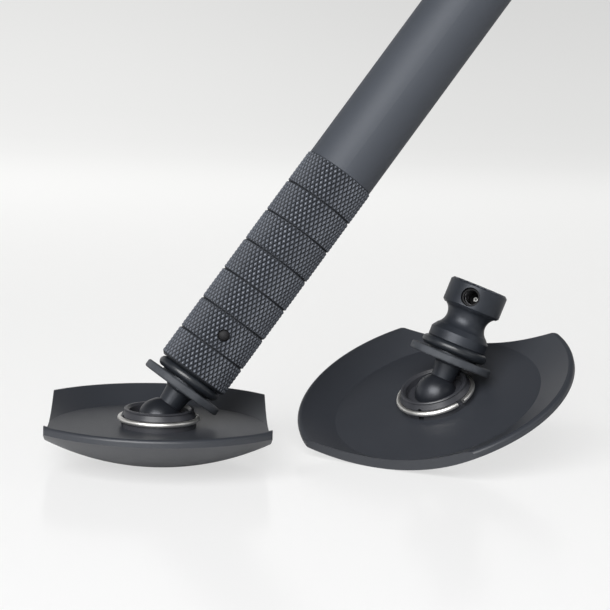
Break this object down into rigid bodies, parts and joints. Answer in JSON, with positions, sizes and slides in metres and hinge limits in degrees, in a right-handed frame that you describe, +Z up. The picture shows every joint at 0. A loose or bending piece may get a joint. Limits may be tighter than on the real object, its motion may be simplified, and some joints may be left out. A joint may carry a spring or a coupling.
{
  "type": "pole end with swivelling snow feet",
  "caption": "Lower end of a round pole with a knurled ferrule, a plug-in ball-jointed snow foot with a dished pad, and a matching loose foot beside it.",
  "frame": {"origin": "middle of foot A's sole, on the ground", "axes": "+Z up; +X to the right along the row of the two feet; +Y to the back"},
  "size_m": [0.1956, 0.1224, 0.1949],
  "materials": {
    "anodised_pad": "bead blasted, charcoal anodised",
    "seat_plastic": "moulded",
    "collar_plastic": "moulded, semi-gloss",
    "ring_steel": "drawn stainless wire",
    "black_ball": "satin black anodised",
    "screw_steel": "black oxide",
    "black_stud": "turned, satin black anodised",
    "washer_rubber": "matte",
    "oring_rubber": "glossy",
    "button_black": "black oxide",
    "pin_steel": "ground",
    "spring_steel": "plain wire",
    "ferrule_black": "diamond knurled, black anodised",
    "tube_slate": "satin slate"
  },
  "bodies": {
    "pole": {"leg_tube": "tube_slate", "ferrule": "ferrule_black", "stud_a": "black_stud", "washer_a": "washer_rubber", "oring_a": "oring_rubber", "ball_screw_a": "screw_steel", "button_spring_a": "spring_steel", "hollow_screw_a": "screw_steel"},
    "detent_a": {"button_a": "button_black", "button_pin_a": "pin_steel"},
    "swivel_ball_a": {"ball_a": "black_ball"},
    "swivel_seat_a": {"ball_seat_a": "seat_plastic"},
    "foot_pad_a": {"pad_a": "anodised_pad", "collar_a": "collar_plastic", "snap_ring_a": "ring_steel"},
    "foot_pad_b": {"pad_b": "anodised_pad", "collar_b": "collar_plastic", "snap_ring_b": "ring_steel"},
    "swivel_seat_b": {"ball_seat_b": "seat_plastic"},
    "swivel_ball_b": {"ball_b": "black_ball"},
    "foot_stud_b": {"stud_b": "black_stud", "washer_b": "washer_rubber", "oring_b": "oring_rubber", "ball_screw_b": "screw_steel", "button_spring_b": "spring_steel", "hollow_screw_b": "screw_steel"},
    "detent_b": {"button_b": "button_black", "button_pin_b": "pin_steel"}
  },
  "joints": [
    {"name": "press_a", "type": "slide", "parent": "pole", "child": "detent_a", "axis": [-0.0461, 0.9898, -0.1345], "range_m": [0, 0.0026], "stiffness_N_per_m": 900, "springref_m": -0.004, "deforming": ["button_spring_a"]},
    {"name": "twist_a", "type": "hinge", "parent": "pole", "child": "swivel_ball_a", "pos_m": [0, 0, 0.0153], "axis": [0.5732, 0.1365, 0.808], "continuous": true},
    {"name": "tilt_a", "type": "hinge", "parent": "swivel_ball_a", "child": "swivel_seat_a", "pos_m": [0, 0, 0.0153], "axis": [-0.2317, 0.9728, 0], "range_deg": [-9.7, 81.9]},
    {"name": "swivel_a", "type": "hinge", "parent": "swivel_seat_a", "child": "foot_pad_a", "pos_m": [0, 0, 0.0153], "axis": [0, 0, 1], "continuous": true},
    {"name": "slide_b", "type": "slide", "parent": "pole", "child": "foot_pad_b", "axis": [1, 0, 0], "range_m": [0, 0.08]},
    {"name": "swivel_b", "type": "hinge", "parent": "foot_pad_b", "child": "swivel_seat_b", "pos_m": [0.10453, 0.01819, 0.02331], "axis": [-0.3054, -0.3012, 0.9033], "continuous": true},
    {"name": "tilt_b", "type": "hinge", "parent": "swivel_seat_b", "child": "swivel_ball_b", "pos_m": [0.10453, 0.01819, 0.02331], "axis": [-0.5151, 0.8502, 0.1093], "range_deg": [-91.1, 0.5]},
    {"name": "twist_b", "type": "hinge", "parent": "swivel_ball_b", "child": "foot_stud_b", "pos_m": [0.10453, 0.01819, 0.02331], "axis": [0.354, 0.0949, 0.9304], "continuous": true},
    {"name": "press_b", "type": "slide", "parent": "foot_stud_b", "child": "detent_b", "axis": [-0.2988, -0.9312, 0.2086], "range_m": [0, 0.0026], "stiffness_N_per_m": 900, "springref_m": -0.004, "deforming": ["button_spring_b"]}
  ]
}
